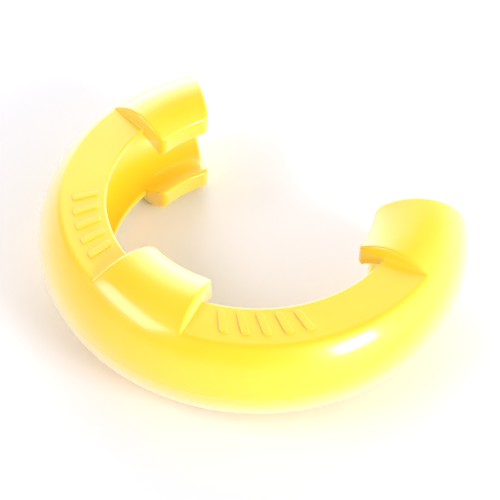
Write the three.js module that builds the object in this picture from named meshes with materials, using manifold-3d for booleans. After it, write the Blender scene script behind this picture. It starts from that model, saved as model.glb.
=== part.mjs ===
// Shackle isolator: a C-shaped ring of moulded urethane that snaps round the bow of a D-ring shackle.
//
// The moulding is one C-section tube, open towards the ring's centre, that runs round about two thirds
// of a circle. Two recesses flatten it above and below, and leave three pairs of full-height jaws:
// one pair in the middle of the ring (the crown) and one pair at the end of each arm.
// It is divided here along the lines where it flexes: each arm turns on the crown about an upright
// line at the ring's outer edge, and each jaw turns on the shell about the crease at its root.
//
// Millimetres, +Z up. The crown is towards -Y and the ring's opening towards +Y.

import * as THREE from 'three';
import { mergeVertices } from 'three/addons/utils/BufferGeometryUtils.js';
import Module from 'manifold-3d';

// The C-shaped section, as radii from the ring's centre and heights from its middle plane.
const TUBE_CENTRE_RADIUS = 38.2; // centre line of the tube and of the shackle's bow
const TUBE_RADIUS = 14.9; // outside of the tube
const CHANNEL_RADIUS = 10.2; // inside of the tube, for a 20 mm bow
const CROWN_HEIGHT = 14.8; // the narrow flat along the top of each jaw, on which the ring rests
const RECESS_HEIGHT = 11.8; // the flat face between the jaws
const RECESS_RIM_RADIUS = 36; // inner edge of that face
const CREASE_RADIUS = 46.4; // outer edge of that face, and the root of the jaws
const CREASE_SOFTENING = 1.7; // how far outside the crease the softened edge meets the tube
const RIM_CHAMFER = 0.5;
const LIP_RADIUS = 29.2; // tip of a jaw
const LIP_CHAMFER = 0.9;
const MOUTH_HEIGHT = 6.8; // underside of a jaw's tip

// Places round the ring, in degrees from the middle of the crown: at the lip, then at the crease.
const MIDDLE_JAW_SIDE = [17.8, 15.7];
const END_JAW_SIDE = [90.6, 93.8];
const ARM_END = [120.2, 123.8];
const ARM_SPLIT = 20; // where an arm meets the crown

const GAP = 0.3; // between pieces that flex on each other
const ARC_STEP = 14; // degrees between points of the section's arcs
const RING_SEGMENTS = 72;
const REACH = 120; // larger than the ring, for cutting prisms
const PAST_END = 10; // the end jaws' slots run out past the ends of the arms
const URETHANE_YELLOW = 0xf7dc2e;

const wasm = await Module();
wasm.setup();

// Points and straight lines in plan.

const radians = THREE.MathUtils.degToRad;

// side is -1 for the left arm and 1 for the right one
function planPoint(bearing, radius, side) {
  const angle = radians(bearing);
  return new THREE.Vector2(side * radius * Math.sin(angle), -radius * Math.cos(angle));
}

// the line that crosses the lip radius and the crease radius at two bearings, pointing outwards
function wallLine([lipBearing, creaseBearing], side) {
  const point = planPoint(lipBearing, LIP_RADIUS, side);
  const direction = planPoint(creaseBearing, CREASE_RADIUS, side).sub(point).normalize();
  return { point, direction };
}

// the line through the crease radius at a bearing, square to the ring's radius there
function rootLine(bearing, side) {
  const point = planPoint(bearing, CREASE_RADIUS, side);
  return { point, direction: new THREE.Vector2(-point.y, point.x).normalize() };
}

function shifted(line, towards, distance) {
  const normal = new THREE.Vector2(-line.direction.y, line.direction.x);
  if (normal.dot(towards.clone().sub(line.point)) < 0) normal.negate();
  return { point: line.point.clone().addScaledVector(normal, distance), direction: line.direction };
}

function along(line, distance) {
  return line.point.clone().addScaledVector(line.direction, distance);
}

function crossing(a, b) {
  const between = b.point.clone().sub(a.point);
  return along(a, between.cross(b.direction) / a.direction.cross(b.direction));
}

// Solids: rings of a constant section and upright prisms, cut and joined.

function solid(geometry) {
  const bare = geometry.clone();
  bare.deleteAttribute('normal');
  bare.deleteAttribute('uv');
  const merged = mergeVertices(bare);
  return new wasm.Manifold(
    new wasm.Mesh({
      numProp: 3,
      vertProperties: new Float32Array(merged.attributes.position.array),
      triVerts: new Uint32Array(merged.index.array),
    }),
  );
}

function geometryOf(body) {
  const { vertProperties, triVerts } = body.getMesh();
  const geometry = new THREE.BufferGeometry();
  geometry.setAttribute('position', new THREE.BufferAttribute(vertProperties, 3));
  geometry.setIndex(new THREE.BufferAttribute(triVerts, 1));
  geometry.computeVertexNormals();
  return geometry;
}

// upright prism over a plan outline, from one height to another
function prism(outline, bottom = -REACH, top = REACH) {
  const points = THREE.ShapeUtils.isClockWise(outline) ? [...outline].reverse() : outline;
  const geometry = new THREE.ExtrudeGeometry(new THREE.Shape(points), {
    depth: top - bottom,
    bevelEnabled: false,
  });
  geometry.translate(0, 0, bottom);
  return solid(geometry);
}

function tubePoint(radius, angle) {
  return new THREE.Vector2(TUBE_CENTRE_RADIUS + radius * Math.cos(angle), radius * Math.sin(angle));
}

function tubeArc(radius, from, to) {
  const steps = Math.ceil(Math.abs(to - from) / radians(ARC_STEP));
  return Array.from({ length: steps + 1 }, (_, i) => tubePoint(radius, from + ((to - from) * i) / steps));
}

// angle round the tube at which a circle of this radius reaches a distance from the ring's centre
function angleAt(radius, distance) {
  return Math.acos((distance - TUBE_CENTRE_RADIUS) / radius);
}

// upper half of the section from the ring's outer edge, over the jaw and back along the channel
function jawSection() {
  const crownAngle = Math.asin(CROWN_HEIGHT / TUBE_RADIUS);
  const lipAngle = angleAt(TUBE_RADIUS, LIP_RADIUS + LIP_CHAMFER);
  const lipTop = tubePoint(TUBE_RADIUS, lipAngle).y - LIP_CHAMFER;
  const mouthAngle = Math.PI - Math.asin(MOUTH_HEIGHT / CHANNEL_RADIUS);
  return [
    ...tubeArc(TUBE_RADIUS, 0, crownAngle),
    ...tubeArc(TUBE_RADIUS, Math.PI - crownAngle, lipAngle),
    new THREE.Vector2(LIP_RADIUS, lipTop),
    new THREE.Vector2(LIP_RADIUS, MOUTH_HEIGHT),
    ...tubeArc(CHANNEL_RADIUS, mouthAngle, 0),
  ];
}

// the same where the ring is recessed between its jaws
function recessSection() {
  const softAngle = angleAt(TUBE_RADIUS, CREASE_RADIUS + CREASE_SOFTENING);
  const rimAngle = angleAt(CHANNEL_RADIUS, RECESS_RIM_RADIUS);
  return [
    ...tubeArc(TUBE_RADIUS, 0, softAngle),
    new THREE.Vector2(CREASE_RADIUS, RECESS_HEIGHT),
    new THREE.Vector2(RECESS_RIM_RADIUS + RIM_CHAMFER, RECESS_HEIGHT),
    new THREE.Vector2(RECESS_RIM_RADIUS, RECESS_HEIGHT - RIM_CHAMFER),
    ...tubeArc(CHANNEL_RADIUS, rimAngle, 0),
  ];
}

// a full ring whose section is the upper half given and its mirror image
function ring(upperHalf) {
  const lowerHalf = upperHalf.map(({ x, y }) => new THREE.Vector2(x, -y)).reverse();
  const outline = [...upperHalf, ...lowerHalf.slice(1)];
  const geometry = new THREE.LatheGeometry(outline, RING_SEGMENTS);
  geometry.rotateX(Math.PI / 2);
  return solid(geometry);
}

const jawRing = ring(jawSection());
const recessRing = ring(recessSection());

// Each place where a pair of jaws stands, as two wall lines in plan and the root line between them.

function jawPlace(walls, bearing, side) {
  const root = rootLine(bearing, side);
  const middle = planPoint(bearing, LIP_RADIUS, side);
  return { walls, root, middle };
}

const middlePlace = jawPlace([wallLine(MIDDLE_JAW_SIDE, -1), wallLine(MIDDLE_JAW_SIDE, 1)], 0, 1);

function endPlace(side) {
  const bearing = (END_JAW_SIDE[1] + ARM_END[1]) / 2;
  return jawPlace([wallLine(END_JAW_SIDE, side), wallLine(ARM_END, side)], bearing, side);
}

// plan outline between two walls, from near the ring's centre out to a root line or past the ring
function betweenWalls([first, second], root) {
  const outer = root ? [crossing(first, root), crossing(second, root)] : [along(first, 40), along(second, 40)];
  return [along(first, -LIP_RADIUS / 2), outer[0], outer[1], along(second, -LIP_RADIUS / 2)];
}

// moves the walls apart from each other, or together where the distance is negative
function spreadWalls(place, distances) {
  return place.walls.map((wall, i) => shifted(wall, place.middle, -distances[i]));
}

// a jaw: what the jaw ring holds between the walls and inside the root line, above or below
function jawSolid(place, upper, wallGaps) {
  const walls = spreadWalls(place, wallGaps.map((gap) => -gap / 2));
  const root = shifted(place.root, place.middle, GAP);
  const [bottom, top] = upper ? [0, REACH] : [-REACH, 0];
  return jawRing.intersect(prism(betweenWalls(walls, root), bottom, top));
}

// a stretch of shell: the recessed ring, raised to the full tube behind the jaws, with their slot cut out
function shellSolid(region, place, slotSpread) {
  const behindJaws = jawRing.intersect(prism(betweenWalls(place.walls, null)));
  const slot = prism(betweenWalls(spreadWalls(place, slotSpread), place.root));
  return recessRing.add(behindJaws).intersect(prism(region)).subtract(slot);
}

function crownRegion() {
  const apex = GAP / 2 / Math.sin(radians(ARM_SPLIT));
  const corners = [-1, 1].map((side) => planPoint(ARM_SPLIT, REACH, side));
  return [new THREE.Vector2(0, 0), ...corners].map((point) => point.add(new THREE.Vector2(0, -apex)));
}

function armRegion(side) {
  const outward = planPoint(90, REACH, side);
  const split = { point: new THREE.Vector2(0, 0), direction: planPoint(ARM_SPLIT, 1, side) };
  const start = shifted(split, outward, GAP / 2);
  const end = wallLine(ARM_END, side);
  const corner = planPoint((ARM_SPLIT + ARM_END[1]) / 2, 2 * REACH, side);
  return [along(start, 1), along(start, REACH), corner, along(end, REACH), along(end, -LIP_RADIUS / 2)];
}

// The named pieces.

const isolator = new THREE.Group();

function addPiece(name, body) {
  const material = new THREE.MeshStandardMaterial({
    color: URETHANE_YELLOW,
    roughness: 0.32,
    metalness: 0,
  });
  const piece = new THREE.Mesh(geometryOf(body), material);
  piece.name = name;
  isolator.add(piece);
}

function addJaws(name, place, wallGaps) {
  addPiece(`upper_${name}_jaw`, jawSolid(place, true, wallGaps));
  addPiece(`lower_${name}_jaw`, jawSolid(place, false, wallGaps));
}

addPiece('crown_shell', shellSolid(crownRegion(), middlePlace, [GAP / 2, GAP / 2]));
addJaws('middle', middlePlace, [GAP, GAP]);

for (const [name, side] of [['left', -1], ['right', 1]]) {
  const place = endPlace(side);
  addPiece(`${name}_arm_shell`, shellSolid(armRegion(side), place, [GAP / 2, PAST_END]));
  addJaws(name, place, [GAP, 0]);
}

// The origin is the middle of the ring's footprint, on the surface that it rests on.
const bounds = new THREE.Box3().setFromObject(isolator);
isolator.position.set(0, -(bounds.min.y + bounds.max.y) / 2, -bounds.min.z);
isolator.updateMatrixWorld(true);

export default isolator;
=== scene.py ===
"""Looks of the shackle isolator: one glossy yellow urethane moulding, as nine skins that meet without a seam.

The whole moulding is one grid. Its rows are upright slices round the ring, from the left arm's end to the
right arm's, and its stations go round the C-shaped section. Each row has the jaw's outline or the recess's.
The step walls between them are rows too, with a fillet at the foot and a rounded edge.
The grid is then divided into the crown, two arms and six closed jaws.
Section sizes are in millimetres from the ring's centre and its middle plane; finished meshes are in metres.
"""

import math

import bmesh
import bpy
import numpy as np
from mathutils import Matrix, Vector


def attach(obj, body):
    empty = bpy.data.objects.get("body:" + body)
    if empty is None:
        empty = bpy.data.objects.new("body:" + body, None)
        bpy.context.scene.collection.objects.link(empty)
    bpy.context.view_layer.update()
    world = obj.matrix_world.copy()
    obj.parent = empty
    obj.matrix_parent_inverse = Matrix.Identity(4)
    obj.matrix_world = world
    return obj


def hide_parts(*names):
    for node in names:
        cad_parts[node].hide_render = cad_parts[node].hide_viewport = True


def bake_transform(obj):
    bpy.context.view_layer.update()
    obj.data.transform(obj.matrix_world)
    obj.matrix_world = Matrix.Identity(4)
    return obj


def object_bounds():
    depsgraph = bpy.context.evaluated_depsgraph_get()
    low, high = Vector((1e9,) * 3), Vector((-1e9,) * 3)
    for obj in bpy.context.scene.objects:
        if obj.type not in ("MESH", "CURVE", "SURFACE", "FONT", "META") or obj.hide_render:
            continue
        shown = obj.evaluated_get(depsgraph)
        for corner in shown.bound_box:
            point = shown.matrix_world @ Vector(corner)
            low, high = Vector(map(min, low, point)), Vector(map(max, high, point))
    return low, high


MM = 0.001

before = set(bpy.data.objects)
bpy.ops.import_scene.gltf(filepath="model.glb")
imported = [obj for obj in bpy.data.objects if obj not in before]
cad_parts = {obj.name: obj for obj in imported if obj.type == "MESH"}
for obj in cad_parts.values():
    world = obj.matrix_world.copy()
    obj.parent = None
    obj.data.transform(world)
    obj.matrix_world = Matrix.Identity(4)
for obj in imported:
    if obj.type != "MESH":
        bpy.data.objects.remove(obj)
cad_low, cad_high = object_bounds()

# The ring, from the frame.
OUTER_RADIUS = (cad_high.x - cad_low.x) / 2 / MM
MIDDLE_HEIGHT = (cad_high.z + cad_low.z) / 2 / MM
CENTRE_Y = cad_low.y / MM + OUTER_RADIUS
TUBE_RADIUS = (cad_high.z - cad_low.z) / 2 / MM
TUBE_CENTRE = OUTER_RADIUS - TUBE_RADIUS

# The section, as the CAD has it.
CHANNEL_RADIUS = 10.2
RECESS_HEIGHT = 11.8
CREASE_RADIUS = 46.4
RIM_RADIUS = 36.0
LIP_RADIUS = 29.2
MOUTH_HEIGHT = 6.8

# Roundings.
RIM_ROUND = 0.6
RIM_UNDER_ROUND = 0.5
LIP_ROUND = 1.5
MOUTH_ROUND = 0.9
MOUTH_INNER_ROUND = 1.0
TIP_CORNER = 2.0
MOUTH_SHARE = 0.35  # of the tip's corner and edge roundings, under the tip
LEAST_STEP = 0.004  # between points where a rounding has used up the outline
WALL_FILLET = 0.5
WALL_EDGE = 0.8
WALL_DRAFT = 0.12
END_EDGE = 0.9

# Points along the stretches of a half section, in order, and round the lip.
RIDGE_ANGLES = (0, 0.35, 0.7, 1.1, 1.6, 2.6)
SIDE_START = 4
SIDE_POINTS = 32
CREASE_POINTS = 12
FLAT_POINTS = 22
LIP_APPROACH = 10
LIP_POINTS = 11
MOUTH_POINTS = 7
MOUTH_INNER_POINTS = 6
MOUTH_END_POINTS = 9
CHANNEL_POINTS = 44
ARC_POINTS = 24

# Places round the ring, in degrees from the middle of the crown: at the lip, then at the crease.
MIDDLE_WALL = (17.8, 15.7)
END_WALL = (90.6, 93.8)
ARM_END = (120.2, 123.8)
ARM_SPLIT = (20.0, 20.0)
ROOT_ANGLE = 38  # round the tube, where the jaws part from the shell

# Degrees between rows.
RECESS_STEP = 1.0
JAW_STEP = 0.6
EDGE_TURNS = (0, 15, 30, 45, 60, 75, 90)
QUARTER_TURNS = (0, 22.5, 45, 67.5, 90)

# Parting line of the mould, round the outside at mid height.
PARTING_HEIGHT = 0.06
PARTING_WIDTH = 0.28

# Raised marks on the upper recessed faces: a plain row of slanted bars on each arm.
MARK_RADIUS = 41.0
MARK_LENGTH = 6.2
MARK_WIDTH = 1.9
MARK_CORNER = 0.6
MARK_CORNER_POINTS = 5
MARK_HEIGHT = 0.38
MARK_DEPTH = 0.15
MARK_EDGE = 0.22
MARK_SLANT = 0.28
MARK_PITCH = 4.6
MARK_COUNT = 5
FIRST_MARK = 26.0

# The urethane: (noise, colour) stops of its cloudy yellow, and the painted sheen, a pale colour towards the
# silhouette.
CLOUD_COLOURS = (
    (0.3, (0.95, 0.685, 0.008, 1)),
    (0.5, (0.97, 0.715, 0.012, 1)),
    (0.7, (0.985, 0.74, 0.018, 1)),
)
NOISE_RANGE = (0.3, 0.7)  # where most values of a noise lie
# Painted sheen: the pale colour that stands in for light reflected near the silhouette.
PAINTED_SHEEN_COLOUR = (1, 0.86, 0.6, 1)
PAINTED_SHEEN_START = 0.28  # from 0 where one looks straight at the surface to 1 at the silhouette
PAINTED_SHEEN_SHARE = 0.66

# The studio. A glow is a direction (azimuth, elevation), the cosine at which it starts and a strength.
HORIZON = 1.15
HORIZON_TOP = 0.12
OVERHEAD = 0.26
OVERHEAD_START = 0.5
GLOWS = (
    ((215, 6), 0.62, 3.1),
    ((112, 20), 0.5, 0.9),
)
GLOW_FULL = 0.97
# A softbox is a name, a direction, a width and height, a power and a colour.
SOFTBOXES = (
    ("window", (86, 25), (0.42, 0.36), 9.2, (1, 0.84, 1)),
    ("left_box", (-38, 44), (0.7, 0.35), 5.2, (1, 0.8, 1)),
)
SOFTBOX_DISTANCE = 1.2
FLOOR_SIZE = 3.0

# The camera: its direction (azimuth, elevation) and roll in degrees, and its lens in millimetres.
EYE_DIRECTION = (35, 46.3)
EYE_DISTANCE = 0.3604
EYE_ROLL = 2.01
LENS = 104.7
LENS_SHIFT = (-0.0086, -0.0438)


# The section's outlines. A half outline starts at the outer edge of the ring, goes over the top and comes
# back along the channel.


def circle(centre, radius, start, end, count, last=True):
    angles = np.radians(np.linspace(start, end, count, endpoint=last))
    return np.stack([centre[0] + radius * np.cos(angles), centre[1] + radius * np.sin(angles)], 1)


def tube(radius, start, end, count, last=True):
    return circle((TUBE_CENTRE, 0.0), radius, start, end, count, last)


def tube_angle(point):
    return math.degrees(math.atan2(point[1], point[0] - TUBE_CENTRE))


def inside_tube(radius, rounding, distance):
    """Height of the centre of a rounding that touches the tube from within, at a distance from the centre."""
    return math.sqrt((radius - rounding) ** 2 - (distance - TUBE_CENTRE) ** 2)


def spread(points, count):
    """The same line with evenly spaced points."""
    length = np.concatenate([[0], np.cumsum(np.linalg.norm(np.diff(points, axis=0), axis=1))])
    wanted = np.linspace(0, length[-1], count)
    return np.stack([np.interp(wanted, length, points[:, k]) for k in (0, 1)], 1)


def crease_fillet():
    """Centre and radius of the fillet between the recess's flat face and the tube."""
    run = CREASE_RADIUS - TUBE_CENTRE
    radius = (TUBE_RADIUS**2 - RECESS_HEIGHT**2 - run**2) / (2 * (TUBE_RADIUS - RECESS_HEIGHT))
    return np.array([CREASE_RADIUS, RECESS_HEIGHT - radius]), radius


def lip_outline(start_angle):
    """The jaw from the top of the tube over its tip and under it, to where the channel's circle starts."""
    edge = np.array([LIP_RADIUS + LIP_ROUND, inside_tube(TUBE_RADIUS, LIP_ROUND, LIP_RADIUS + LIP_ROUND)])
    below = np.array([LIP_RADIUS + MOUTH_ROUND, MOUTH_HEIGHT + MOUTH_ROUND])
    inner_height = MOUTH_HEIGHT + MOUTH_INNER_ROUND
    reach = CHANNEL_RADIUS + MOUTH_INNER_ROUND
    inner = np.array([TUBE_CENTRE - math.sqrt(reach**2 - inner_height**2), inner_height])
    inner_angle = tube_angle(inner)
    return np.concatenate([
        tube(TUBE_RADIUS, start_angle, tube_angle(edge), LIP_APPROACH, False),
        circle(edge, LIP_ROUND, tube_angle(edge), 180, LIP_POINTS),
        circle(below, MOUTH_ROUND, 180, 270, MOUTH_POINTS),
        circle(inner, MOUTH_INNER_ROUND, -90, inner_angle - 180, MOUTH_INNER_POINTS, False),
        tube(CHANNEL_RADIUS, inner_angle, rim_under()[1], MOUTH_END_POINTS),
    ])


def rim_under():
    """Centre of the rounding under the recess's rim, and the channel angle where it ends."""
    reach = CHANNEL_RADIUS + RIM_UNDER_ROUND
    distance = RIM_RADIUS + RIM_UNDER_ROUND
    centre = np.array([distance, math.sqrt(reach**2 - (distance - TUBE_CENTRE) ** 2)])
    return centre, tube_angle(centre)


def rim_outline(count):
    """The recess's rim, with as many points as the jaw's lip has."""
    top = np.array([RIM_RADIUS + RIM_ROUND, RECESS_HEIGHT - RIM_ROUND])
    under, angle = rim_under()
    fine = np.concatenate([
        circle(top, RIM_ROUND, 90, 180, ARC_POINTS),
        circle(under, RIM_UNDER_ROUND, 180, angle + 180, ARC_POINTS),
    ])
    return spread(fine, count)


def half_outlines():
    """Half outlines of the jaw and the recess, whose points match, and where the lip starts and ends."""
    fillet, radius = crease_fillet()
    crease_angle = tube_angle(fillet)
    flat_start = RIM_RADIUS + RIM_ROUND
    even_angles = np.linspace(SIDE_START, crease_angle, SIDE_POINTS, endpoint=False)
    side_angles = np.radians(np.concatenate([RIDGE_ANGLES, even_angles]))
    side = np.stack([TUBE_CENTRE + TUBE_RADIUS * np.cos(side_angles), TUBE_RADIUS * np.sin(side_angles)], 1)
    side[:, 0] += PARTING_HEIGHT * np.exp(-((side[:, 1] / PARTING_WIDTH) ** 2))
    softened = circle(fillet, radius, crease_angle, 90, CREASE_POINTS, False)
    flat_reach = np.linspace(CREASE_RADIUS, flat_start, FLAT_POINTS, endpoint=False)
    flat = np.stack([flat_reach, np.full(FLAT_POINTS, RECESS_HEIGHT)], 1)
    recess_top = np.concatenate([softened, flat])
    reach = recess_top[:, 0] - TUBE_CENTRE
    jaw_top = np.stack([recess_top[:, 0], np.sqrt(TUBE_RADIUS**2 - reach**2)], 1)
    lip = lip_outline(math.degrees(math.acos((flat_start - TUBE_CENTRE) / TUBE_RADIUS)))
    rim = rim_outline(len(lip))
    channel = tube(CHANNEL_RADIUS, rim_under()[1], 0, CHANNEL_POINTS)[1:]
    jaw = np.concatenate([side, jaw_top, lip, channel])
    recess = np.concatenate([side, recess_top, rim, channel])
    lip_start = len(side) + len(jaw_top) + LIP_APPROACH
    return jaw, recess, lip_start, lip_start + LIP_POINTS + MOUTH_POINTS


def whole(half):
    """The closed outline: the upper half and its mirror image below."""
    return np.concatenate([half, half[-2:0:-1] * [1, -1]])


def outward(outline):
    """Unit normals of a closed outline, out of the material."""
    along = np.roll(outline, -1, 0) - np.roll(outline, 1, 0)
    along /= np.linalg.norm(along, axis=1, keepdims=True)
    return np.stack([along[:, 1], -along[:, 0]], 1)


JAW_HALF, RECESS_HALF, LIP_START, LIP_END = half_outlines()
RECESS = whole(RECESS_HALF)
RECESS_OUT = outward(RECESS)
STATIONS = len(RECESS)
HALF = len(RECESS_HALF)

# Stations of the upper half: the tip's underside, the stretch that its rounded corner moves, and the rim.
MOUTH_START, MOUTH_STOP = LIP_START + LIP_POINTS, LIP_END + 12
CORNER_START, CORNER_STOP = LIP_START - 20, LIP_END + 10
INNER_STOP = LIP_END + MOUTH_INNER_POINTS
RIM_STOP = INNER_STOP + MOUTH_END_POINTS


def over_stations(numbers, values):
    """One value for each station, from values at station numbers of the upper half."""
    half = np.interp(np.arange(HALF), numbers, values)
    return np.concatenate([half, half[-2:0:-1]])


# How much of an edge's rounding each station takes: less under the tips, whose own roundings are small.
EDGE_STATIONS = [MOUTH_START - 4, MOUTH_START, INNER_STOP, RIM_STOP]
EDGE_SHARE = over_stations(EDGE_STATIONS, [1, MOUTH_SHARE, MOUTH_SHARE, 1])

# 0 on the outside of the ring and 1 in its channel.
CHANNEL_SHARE = over_stations([LIP_END, MOUTH_STOP], [0, 1])


def jaw_outline(distance):
    """The jaw's outline at a distance from its side, where the corner of its tip is rounded in plan."""
    inside = max(0.0, TIP_CORNER - distance)
    retreat = TIP_CORNER - math.sqrt(TIP_CORNER**2 - inside**2)
    number = np.arange(HALF)
    half = JAW_HALF.copy()
    places = [CORNER_START, LIP_START, MOUTH_START, LIP_END, CORNER_STOP]
    share = np.interp(number, places, [0, 1, 1, MOUTH_SHARE, 0])
    half[:, 0] += retreat * share
    reach = half[:, 0] - TUBE_CENTRE
    outside = (number < LIP_START) & (share > 0)
    half[outside, 1] = np.sqrt(TUBE_RADIUS**2 - reach[outside] ** 2)
    lip = (number >= LIP_START) & (number < LIP_END)
    rise = half[LIP_START - 1, 1] - JAW_HALF[LIP_START - 1, 1]
    half[lip, 1] += rise * (half[lip, 1] - MOUTH_HEIGHT) / (JAW_HALF[LIP_START, 1] - MOUTH_HEIGHT)
    clear_mouth(half, np.full(HALF, CHANNEL_RADIUS))
    return whole(half)


def clear_mouth(half, channel):
    """Keeps a tip's underside running on towards the channel and out of its bore, at the rounded corner."""
    mouth = slice(MOUTH_START, MOUTH_STOP)
    step = LEAST_STEP * np.arange(MOUTH_STOP - MOUTH_START)
    half[mouth, 0] = np.maximum.accumulate(half[mouth, 0] - step) + step
    reach = half[mouth, 0] - TUBE_CENTRE
    bore = np.sqrt(np.maximum(channel[mouth] ** 2 - reach**2, 0))
    half[mouth, 1] = np.maximum(half[mouth, 1], bore)


# Rows. A row is a straight line in plan, a shift off that line, and the section that it carries.


def plan_point(bearing, radius):
    angle = math.radians(bearing)
    return np.array([radius * math.sin(angle), -radius * math.cos(angle)])


def plan_line(bearings):
    """(point, direction, normal) of the line through the lip and crease radii at two bearings."""
    point = plan_point(bearings[0], LIP_RADIUS)
    direction = plan_point(bearings[1], CREASE_RADIUS) - point
    direction /= np.linalg.norm(direction)
    return point, direction, np.array([-direction[1], direction[0]])


def at_radius(line, shift, radii):
    """Points of a shifted plan line at given distances from the ring's centre."""
    point, direction, normal = line
    start = point + normal * shift
    middle = start @ direction
    distance = -middle + np.sqrt(middle**2 - start @ start + radii**2)
    return start + distance[:, None] * direction


def shifted_bearings(bearings, shift):
    """Bearings at the lip and crease radii of a plan line that is shifted sideways."""
    ends = at_radius(plan_line(bearings), shift, np.array([LIP_RADIUS, CREASE_RADIUS]))
    return tuple(math.degrees(math.atan2(x, -y)) for x, y in ends)


def row(bearings, shift, section):
    plan = at_radius(plan_line(bearings), shift, section[:, 0])
    x, y, z = plan[:, 0], plan[:, 1] + CENTRE_Y, section[:, 1] + MIDDLE_HEIGHT
    return np.stack([x, y, z], 1) * MM


def between(first, last, step):
    """Bearings of the rows between two plan lines, both left out."""
    count = max(2, round(abs(last[1] - first[1]) / step))
    shares = np.linspace(0, 1, count + 1)[1:-1]
    return [tuple(a + (b - a) * t for a, b in zip(first, last)) for t in shares]


def recess_rows(first, last):
    return [row(bearings, 0, RECESS) for bearings in between(first, last, RECESS_STEP)]


def jaw_rows(first, last, walls):
    """Rows of a jaw between two plan lines, given the walls at its sides."""
    rows = []
    for bearings in between(first, last, JAW_STEP):
        tip = plan_point(bearings[0], LIP_RADIUS)
        distances = [abs((tip - point) @ normal) for point, _, normal in map(plan_line, walls)]
        rows.append(row(bearings, 0, jaw_outline(min(distances))))
    return rows


WALL_REACH = WALL_DRAFT + WALL_FILLET
EDGE_REACH = WALL_DRAFT + WALL_EDGE


def wall_rows(bearings):
    """Rows of a step wall from the recess to the jaw. The jaw lies towards greater bearings."""
    jaw = jaw_outline(WALL_DRAFT)
    rise = jaw - RECESS
    height = np.linalg.norm(rise, axis=1)
    way = rise / np.maximum(height, 1e-9)[:, None]
    room = np.minimum(1, height / (2 * (WALL_FILLET + WALL_EDGE)))
    foot = (WALL_FILLET * room * np.clip((way * RECESS_OUT).sum(1), 0, 1))[:, None] * RECESS_OUT
    edge = room * np.clip((way * outward(jaw)).sum(1), 0, 1)
    rows = []
    for turn in np.radians(QUARTER_TURNS):
        shift = -WALL_DRAFT - WALL_FILLET * (1 - math.sin(turn))
        rows.append(row(bearings, shift, RECESS + foot * (1 - math.cos(turn))))
    low, high = RECESS + foot, rounded_jaw(WALL_DRAFT, WALL_EDGE * edge)
    for share in (1 / 3, 2 / 3):
        rows.append(row(bearings, WALL_DRAFT * (2 * share - 1), low + (high - low) * share))
    for turn in np.radians(EDGE_TURNS):
        shift = WALL_DRAFT + WALL_EDGE * (1 - math.cos(turn))
        rows.append(row(bearings, shift, rounded_jaw(shift, WALL_EDGE * edge * (1 - math.sin(turn)))))
    return rows


def rounded_jaw(distance, depth):
    """The jaw's outline at a distance from its side, sunk by a depth for the rounding of its edge."""
    outline = jaw_outline(distance)
    depth = depth * EDGE_SHARE
    half = (outline - outward(outline) * depth[:, None])[:HALF]
    clear_mouth(half, CHANNEL_RADIUS + depth[:HALF])
    return whole(half)


def end_rows():
    """Rows of the rounded edge at an arm's end."""
    rows = []
    for turn in np.radians(EDGE_TURNS):
        shift = END_EDGE * (1 - math.sin(turn))
        depth = np.full(STATIONS, END_EDGE * (1 - math.cos(turn)))
        rows.append(row(ARM_END, -shift, rounded_jaw(shift, depth)))
    return rows


def mirrored(rows):
    """The same rows on the left side, in order of growing bearing."""
    return [r * [-1, 1, 1] for r in reversed(rows)]


def mirrored_bearings(bearings):
    return tuple(-b for b in bearings)


def right_half():
    """Rows from the middle of the crown to the right arm's end, and the row numbers of the borders."""
    marks = {}
    middle_edge = shifted_bearings(MIDDLE_WALL, -EDGE_REACH)
    middle_walls = (MIDDLE_WALL, mirrored_bearings(MIDDLE_WALL))
    rows = jaw_rows((-JAW_STEP, -JAW_STEP), (JAW_STEP, JAW_STEP), middle_walls)
    rows += jaw_rows((0, 0), middle_edge, middle_walls)
    falling = mirrored(wall_rows(mirrored_bearings(MIDDLE_WALL)))
    rows += falling
    marks["middle_foot"] = len(rows) - 1
    middle_foot = shifted_bearings(MIDDLE_WALL, WALL_REACH)
    rows += recess_rows(middle_foot, ARM_SPLIT)
    marks["split"] = len(rows)
    rows.append(row(ARM_SPLIT, 0, RECESS))
    rows += recess_rows(ARM_SPLIT, shifted_bearings(END_WALL, -WALL_REACH))
    marks["end_foot"] = len(rows)
    rows += wall_rows(END_WALL)
    end_start = shifted_bearings(ARM_END, -END_EDGE)
    rows += jaw_rows(shifted_bearings(END_WALL, EDGE_REACH), end_start, (END_WALL, ARM_END))
    rows += end_rows()
    marks["end"] = len(rows) - 1
    return rows, marks


half_rows, marks = right_half()
GRID = np.array(mirrored(half_rows[1:]) + half_rows)
CENTRE_ROW = len(half_rows) - 1


def grid_normals():
    """Smooth normals of the whole surface, weighted by the faces' areas, so that divided pieces match."""
    onward = np.roll(GRID, -1, 1)
    across = GRID[1:] - GRID[:-1]
    across_onward = onward[1:] - onward[:-1]
    facet = np.cross(across, onward[:-1] - GRID[:-1]) + np.cross(across_onward, onward[1:] - GRID[1:])
    total = np.zeros_like(GRID)
    for rows in (slice(0, -1), slice(1, None)):
        total[rows] += facet
        total[rows] += np.roll(facet, 1, 1)
    return total / np.linalg.norm(total, axis=2, keepdims=True)


NORMALS = grid_normals()


# Dividing the grid. A stretch is (first row, last row, first station, last station); stations wrap round.


def station_at(angle, points):
    """The station of the half section nearest to an angle round the tube, among the ones given."""
    angles = np.degrees(np.arctan2(JAW_HALF[points, 1], JAW_HALF[points, 0] - TUBE_CENTRE))
    return int(points.start + np.argmin(np.abs(angles - angle)))


ROOT_OUTER = station_at(ROOT_ANGLE, slice(0, SIDE_POINTS))
ROOT_INNER = station_at(ROOT_ANGLE, slice(HALF - CHANNEL_POINTS, HALF))


def below(station):
    """The station's mirror image on the lower half."""
    return (STATIONS - station) % STATIONS


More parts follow.
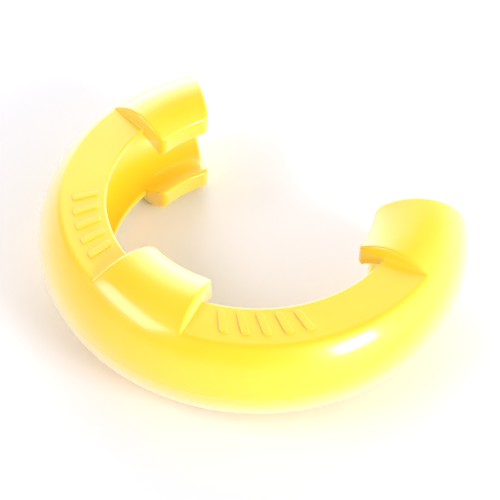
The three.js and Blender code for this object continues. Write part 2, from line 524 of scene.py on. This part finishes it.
def stretch_faces(stretch):
    r0, r1, s0, s1 = stretch
    count = (s1 - s0) % STATIONS or STATIONS
    stations = [(s0 + k) % STATIONS for k in range(count + 1)]
    faces = []
    for r in range(r0, r1):
        for a, b in zip(stations, stations[1:]):
            faces.append(((r, a), (r, b), (r + 1, b), (r + 1, a)))
    return faces


def run(row_number, first, last):
    """Grid points of one row from a station to another, going up in number."""
    count = (last - first) % STATIONS
    return [(row_number, (first + k) % STATIONS) for k in range(count + 1)]


def root_faces(r0, r1, outer, inner):
    """The cut through the wall at a jaw's root."""
    return [((r, outer), (r + 1, outer), (r + 1, inner), (r, inner)) for r in range(r0, r1)]


def build(name, surface, cuts, marks=()):
    """A closed mesh of surface faces with the grid's own normals, flat cut faces and raised marks."""
    used = sorted({corner for face in surface + cuts for corner in face})
    number = {corner: i for i, corner in enumerate(used)}
    normals = [NORMALS[corner] for corner in used]
    mesh = bpy.data.meshes.new(name)
    bm = bmesh.new()
    points = [bm.verts.new(GRID[corner]) for corner in used]
    flags = bm.faces.layers.int.new("cut")
    for faces, flag in ((surface, 0), (cuts, 1)):
        for face in faces:
            made = bm.faces.new([points[number[corner]] for corner in face])
            made.smooth = not flag
            made[flags] = flag
    for mark_points, mark_normals, mark_faces in marks:
        corners = [bm.verts.new(point) for point in mark_points]
        normals += list(mark_normals)
        for face in mark_faces:
            bm.faces.new([corners[i] for i in face]).smooth = True
    bm.normal_update()
    wide = [face for face in bm.faces if len(face.verts) > 4]
    bmesh.ops.triangulate(bm, faces=wide, ngon_method="EAR_CLIP")
    bmesh.ops.recalc_face_normals(bm, faces=bm.faces)
    if bm.calc_volume(signed=True) < 0:
        bmesh.ops.reverse_faces(bm, faces=bm.faces)
    bm.to_mesh(mesh)
    bm.free()
    channel = np.zeros(len(normals))
    channel[: len(used)] = [CHANNEL_SHARE[station] for _, station in used]
    mesh.attributes.new("channel", "FLOAT", "POINT").data.foreach_set("value", channel)
    set_normals(mesh, np.array(normals))
    piece = bpy.data.objects.new(name, mesh)
    bpy.context.scene.collection.objects.link(piece)
    return piece


def set_normals(mesh, smooth):
    """Surface corners take the grid's normals and cut corners the normal of their face."""
    flags = np.zeros(len(mesh.polygons), int)
    mesh.attributes["cut"].data.foreach_get("value", flags)
    sizes = np.zeros(len(mesh.polygons), int)
    mesh.polygons.foreach_get("loop_total", sizes)
    corners = np.zeros(len(mesh.loops), int)
    mesh.loops.foreach_get("vertex_index", corners)
    flat = np.zeros(len(mesh.polygons) * 3)
    mesh.polygons.foreach_get("normal", flat)
    normals = smooth[corners]
    cut = np.repeat(flags, sizes) == 1
    normals[cut] = np.repeat(flat.reshape(-1, 3), sizes, axis=0)[cut]
    mesh.normals_split_custom_set(normals)
    mesh.attributes.remove(mesh.attributes["cut"])


def jaw_piece(name, r0, r1, upper):
    """A jaw between two rows, cut from the wall at its root."""
    outer, inner = (ROOT_OUTER, ROOT_INNER) if upper else (below(ROOT_INNER), below(ROOT_OUTER))
    surface = stretch_faces((r0, r1, outer, inner))
    cuts = [tuple(run(r0, outer, inner)), tuple(reversed(run(r1, outer, inner)))]
    return build(name, surface, cuts + root_faces(r0, r1, outer, inner))


def shell_piece(name, r0, r1, j0, j1, marks=()):
    """A stretch of shell from row r0 to r1, with a pair of jaws missing from row j0 to j1."""
    surface = []
    if j0 > r0:
        surface += stretch_faces((r0, j0, 0, 0))
    if r1 > j1:
        surface += stretch_faces((j1, r1, 0, 0))
    surface += stretch_faces((j0, j1, below(ROOT_OUTER), ROOT_OUTER))
    surface += stretch_faces((j0, j1, ROOT_INNER, below(ROOT_INNER)))
    cuts = root_faces(j0, j1, ROOT_OUTER, ROOT_INNER)
    cuts += root_faces(j0, j1, below(ROOT_INNER), below(ROOT_OUTER))
    for end, jaw in ((r0, j0), (r1, j1)):
        if end == jaw:
            channel = run(end, ROOT_INNER, below(ROOT_INNER))
            cuts.append(tuple(channel + run(end, below(ROOT_OUTER), ROOT_OUTER)))
        else:
            cuts.append(tuple(run(end, 0, STATIONS - 1)))
            cuts.append(tuple(run(jaw, ROOT_OUTER, ROOT_INNER)))
            cuts.append(tuple(run(jaw, below(ROOT_INNER), below(ROOT_OUTER))))
    return build(name, surface, cuts, marks)


# The raised bars, each a closed form sunk a little into the recessed face.


def rounded_rectangle(width, length, corner):
    """Points round the rectangle and the directions out of it."""
    points, ways = [], []
    for quarter, (sx, sy) in enumerate(((1, 1), (-1, 1), (-1, -1), (1, -1))):
        for angle in np.radians(np.linspace(0, 90, MARK_CORNER_POINTS) + 90 * quarter):
            way = np.array([math.cos(angle), math.sin(angle)])
            centre = np.array([sx * (width / 2 - corner), sy * (length / 2 - corner)])
            points.append(centre + corner * way)
            ways.append(way)
    return np.array(points), np.array(ways)


def raised_bar(bearing):
    """(points, normals, faces) of the bar at a bearing."""
    outline, ways = rounded_rectangle(MARK_WIDTH, MARK_LENGTH, MARK_CORNER)
    levels = [(0.0, -MARK_DEPTH, 0.0)]
    for turn in np.radians(QUARTER_TURNS):
        inset = MARK_EDGE * (1 - math.cos(turn))
        levels.append((inset, MARK_HEIGHT - MARK_EDGE * (1 - math.sin(turn)), turn))
    points, normals = [], []

    def add(across, outwards, height, normal):
        b = math.radians(bearing + math.degrees((across + MARK_SLANT * outwards) / MARK_RADIUS))
        out, along = np.array([math.sin(b), -math.cos(b)]), np.array([math.cos(b), math.sin(b)])
        x, y = out * (MARK_RADIUS + outwards)
        points.append(np.array([x, y + CENTRE_Y, height + RECESS_HEIGHT + MIDDLE_HEIGHT]) * MM)
        plan = along * normal[0] + out * normal[1]
        normals.append(np.array([plan[0], plan[1], normal[2]]))

    for inset, height, turn in levels:
        level, lift = math.cos(turn), math.sin(turn)
        for (across, outwards), way in zip(outline - ways * inset, ways):
            add(across, outwards, height, (way[0] * level, way[1] * level, lift))
    count = len(outline)
    faces = []
    for low in range(0, count * (len(levels) - 1), count):
        for i in range(count):
            j = (i + 1) % count
            faces.append((low + i, low + j, low + count + j, low + count + i))
    top = count * (len(levels) - 1)
    faces.append(tuple(range(top, top + count)))
    faces.append(tuple(reversed(range(count))))
    return points, normals, faces


def bar_row(side):
    step = math.degrees(MARK_PITCH / MARK_RADIUS)
    return [raised_bar(side * (FIRST_MARK + k * step)) for k in range(MARK_COUNT)]


# Flexing. Each skin's placement is baked into its mesh.


def flex_jaw(piece):
    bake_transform(piece)


def flex_arm(piece):
    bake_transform(piece)


# Material.


def colour_ramp(nodes, links, factor, stops):
    ramp = nodes.new("ShaderNodeValToRGB")
    ramp.color_ramp.elements[0].position, ramp.color_ramp.elements[0].color = stops[0]
    ramp.color_ramp.elements[1].position, ramp.color_ramp.elements[1].color = stops[-1]
    for position, colour in stops[1:-1]:
        ramp.color_ramp.elements.new(position).color = colour
    links.new(factor, ramp.inputs["Fac"])
    return ramp.outputs["Color"]


def noise(nodes, links, where, scale, detail):
    texture = nodes.new("ShaderNodeTexNoise")
    texture.inputs["Scale"].default_value = scale
    texture.inputs["Detail"].default_value = detail
    links.new(where, texture.inputs["Vector"])
    return texture.outputs["Fac"]


def smooth_step(nodes, links, value, start, end, low, high):
    step = nodes.new("ShaderNodeMapRange")
    step.interpolation_type = "SMOOTHSTEP"
    links.new(value, step.inputs["Value"])
    set_range(step, (start, end), low, high)
    return step.outputs["Result"]


def set_range(node, source, low, high):
    node.inputs["From Min"].default_value, node.inputs["From Max"].default_value = source
    node.inputs["To Min"].default_value, node.inputs["To Max"].default_value = low, high


def value_range(nodes, links, factor, low, high):
    """Spreads a noise over a range of values."""
    change = nodes.new("ShaderNodeMapRange")
    set_range(change, NOISE_RANGE, low, high)
    links.new(factor, change.inputs["Value"])
    return change.outputs["Result"]


def painted_sheen_edges(nodes, links, colour):
    """Paints a pale sheen towards the silhouette in place of the light reflected there; not in the channel.
    """
    facing = nodes.new("ShaderNodeLayerWeight")
    facing.inputs["Blend"].default_value = 0.5
    channel = nodes.new("ShaderNodeAttribute")
    channel.attribute_name = "channel"
    outside = smooth_step(nodes, links, channel.outputs["Fac"], 0, 1, PAINTED_SHEEN_SHARE, 0)
    pale = smooth_step(nodes, links, facing.outputs["Facing"], PAINTED_SHEEN_START, 1, 0, 1)
    product = nodes.new("ShaderNodeMath")
    product.operation = "MULTIPLY"
    links.new(outside, product.inputs[0])
    links.new(pale, product.inputs[1])
    mix = nodes.new("ShaderNodeMix")
    mix.data_type = "RGBA"
    links.new(product.outputs["Value"], mix.inputs["Factor"])
    links.new(colour, mix.inputs["A"])
    mix.inputs["B"].default_value = PAINTED_SHEEN_COLOUR
    return mix.outputs["Result"]


def bump(nodes, links, height, strength, distance):
    node = nodes.new("ShaderNodeBump")
    node.inputs["Strength"].default_value = strength
    node.inputs["Distance"].default_value = distance
    links.new(height, node.inputs["Height"])
    return node


def urethane():
    """Glossy lemon yellow, a little cloudy, with faint ripples, fine orange peel and rubbed patches."""
    material = bpy.data.materials.new("yellow_urethane")
    material.use_nodes = True
    nodes, links = material.node_tree.nodes, material.node_tree.links
    shader = nodes["Principled BSDF"]
    where = nodes.new("ShaderNodeTexCoord").outputs["Object"]
    clouds = noise(nodes, links, where, 45, 3)
    colour = colour_ramp(nodes, links, clouds, CLOUD_COLOURS)
    # The base colour carries a painted sheen, paler towards the silhouette.
    links.new(painted_sheen_edges(nodes, links, colour), shader.inputs["Base Color"])
    rubbed = noise(nodes, links, where, 110, 5)
    links.new(value_range(nodes, links, rubbed, 0.3, 0.42), shader.inputs["Roughness"])
    links.new(value_range(nodes, links, clouds, 0.1, 0.17), shader.inputs["Coat Roughness"])
    shader.inputs["Coat Weight"].default_value = 0.95
    shader.inputs["IOR"].default_value = 1.5
    shader.inputs["Sheen Weight"].default_value = 0.2
    shader.inputs["Sheen Roughness"].default_value = 0.45
    shader.inputs["Sheen Tint"].default_value = (1, 0.98, 0.9, 1)
    ripples = bump(nodes, links, noise(nodes, links, where, 150, 2), 1.0, 0.00007)
    peel = bump(nodes, links, noise(nodes, links, where, 900, 2), 0.08, 0.00025)
    links.new(ripples.outputs["Normal"], peel.inputs["Normal"])
    links.new(peel.outputs["Normal"], shader.inputs["Normal"])
    return material


# Scene.


def toward(azimuth, elevation):
    """Unit vector in a direction, whose azimuth is in degrees from the crown towards the right arm."""
    a, e = math.radians(azimuth), math.radians(elevation)
    return Vector((math.sin(a) * math.cos(e), -math.cos(a) * math.cos(e), math.sin(e)))


def camera():
    data = bpy.data.cameras.new("camera")
    data.sensor_width = 36
    data.lens = LENS
    data.shift_x, data.shift_y = LENS_SHIFT
    data.clip_start, data.clip_end = 0.01, 10
    eye = bpy.data.objects.new("camera", data)
    bpy.context.scene.collection.objects.link(eye)
    back = toward(*EYE_DIRECTION)
    target = Vector((0, CENTRE_Y, MIDDLE_HEIGHT)) * MM
    roll = Matrix.Rotation(math.radians(EYE_ROLL), 4, "Z")
    turn = back.to_track_quat("Z", "Y").to_matrix().to_4x4() @ roll
    eye.matrix_world = Matrix.Translation(target + back * EYE_DISTANCE) @ turn
    bpy.context.scene.camera = eye


def make_skins():
    material = urethane()
    left, right = CENTRE_ROW - marks["middle_foot"], CENTRE_ROW + marks["middle_foot"]

    def dress(piece, node):
        piece.data.materials.append(material)
        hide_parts(node)

    crown_rows = (CENTRE_ROW - marks["split"], CENTRE_ROW + marks["split"])
    crown = shell_piece("crown_shell_skin", *crown_rows, left, right)
    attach(crown, "crown")
    dress(crown, "crown_shell")
    for level, upper in (("upper", True), ("lower", False)):
        name = f"{level}_middle_jaw"
        jaw = jaw_piece(name + "_skin", left, right, upper)
        flex_jaw(jaw)
        dress(jaw, name)
    for label, side in (("left", -1), ("right", 1)):
        split = CENTRE_ROW + side * marks["split"]
        foot = CENTRE_ROW + side * marks["end_foot"]
        end = CENTRE_ROW + side * marks["end"]
        r0, r1 = sorted((split, end))
        j0, j1 = sorted((foot, end))
        arm = shell_piece(f"{label}_arm_shell_skin", r0, r1, j0, j1, bar_row(side))
        flex_arm(arm)
        dress(arm, f"{label}_arm_shell")
        for level, upper in (("upper", True), ("lower", False)):
            name = f"{level}_{label}_jaw"
            jaw = jaw_piece(name + "_skin", j0, j1, upper)
            flex_jaw(jaw)
            dress(jaw, name)


def floor():
    mesh = bpy.data.meshes.new("floor")
    corners = [(x * FLOOR_SIZE, y * FLOOR_SIZE, 0) for x, y in ((-1, -1), (1, -1), (1, 1), (-1, 1))]
    mesh.from_pydata(corners, [], [(0, 1, 2, 3)])
    ground = bpy.data.objects.new("floor", mesh)
    bpy.context.scene.collection.objects.link(ground)
    material = bpy.data.materials.new("floor")
    material.use_nodes = True
    shader = material.node_tree.nodes["Principled BSDF"]
    shader.inputs["Base Color"].default_value = (0.96, 0.995, 1.0, 1)
    shader.inputs["Roughness"].default_value = 0.6
    mesh.materials.append(material)


def soft_light(name, direction, size, power, colour):
    """A softbox that faces the ring from a direction."""
    data = bpy.data.lights.new(name, "AREA")
    data.shape = "RECTANGLE"
    data.size, data.size_y = size
    data.energy = power
    data.color = colour
    light = bpy.data.objects.new(name, data)
    bpy.context.scene.collection.objects.link(light)
    back = toward(*direction)
    turn = back.to_track_quat("Z", "Y").to_matrix().to_4x4()
    light.matrix_world = Matrix.Translation(back * SOFTBOX_DISTANCE) @ turn


def glow(nodes, links, where, direction, start, strength):
    """Light from one side of the room, that fades out at an angle whose cosine is start."""
    dot = nodes.new("ShaderNodeVectorMath")
    dot.operation = "DOT_PRODUCT"
    links.new(where, dot.inputs[0])
    dot.inputs[1].default_value = toward(*direction)
    return smooth_step(nodes, links, dot.outputs["Value"], start, GLOW_FULL, 0, strength)


def studio_world():
    """A white room: bright along the horizon, brightest behind the ring and dim overhead."""
    world = bpy.data.worlds.new("studio")
    bpy.context.scene.world = world
    world.use_nodes = True
    nodes, links = world.node_tree.nodes, world.node_tree.links
    where = nodes.new("ShaderNodeTexCoord").outputs["Generated"]
    split = nodes.new("ShaderNodeSeparateXYZ")
    links.new(where, split.inputs["Vector"])
    height = split.outputs["Z"]
    total = smooth_step(nodes, links, height, HORIZON_TOP, OVERHEAD_START, HORIZON, OVERHEAD)
    for direction, start, strength in GLOWS:
        add = nodes.new("ShaderNodeMath")
        links.new(total, add.inputs[0])
        links.new(glow(nodes, links, where, direction, start, strength), add.inputs[1])
        total = add.outputs["Value"]
    background = nodes["Background"]
    background.inputs["Color"].default_value = (1, 1, 1, 1)
    links.new(total, background.inputs["Strength"])


def lighting():
    studio_world()
    for softbox in SOFTBOXES:
        soft_light(*softbox)
    bpy.context.scene.view_settings.view_transform = "Standard"


camera()
make_skins()
floor()
lighting()
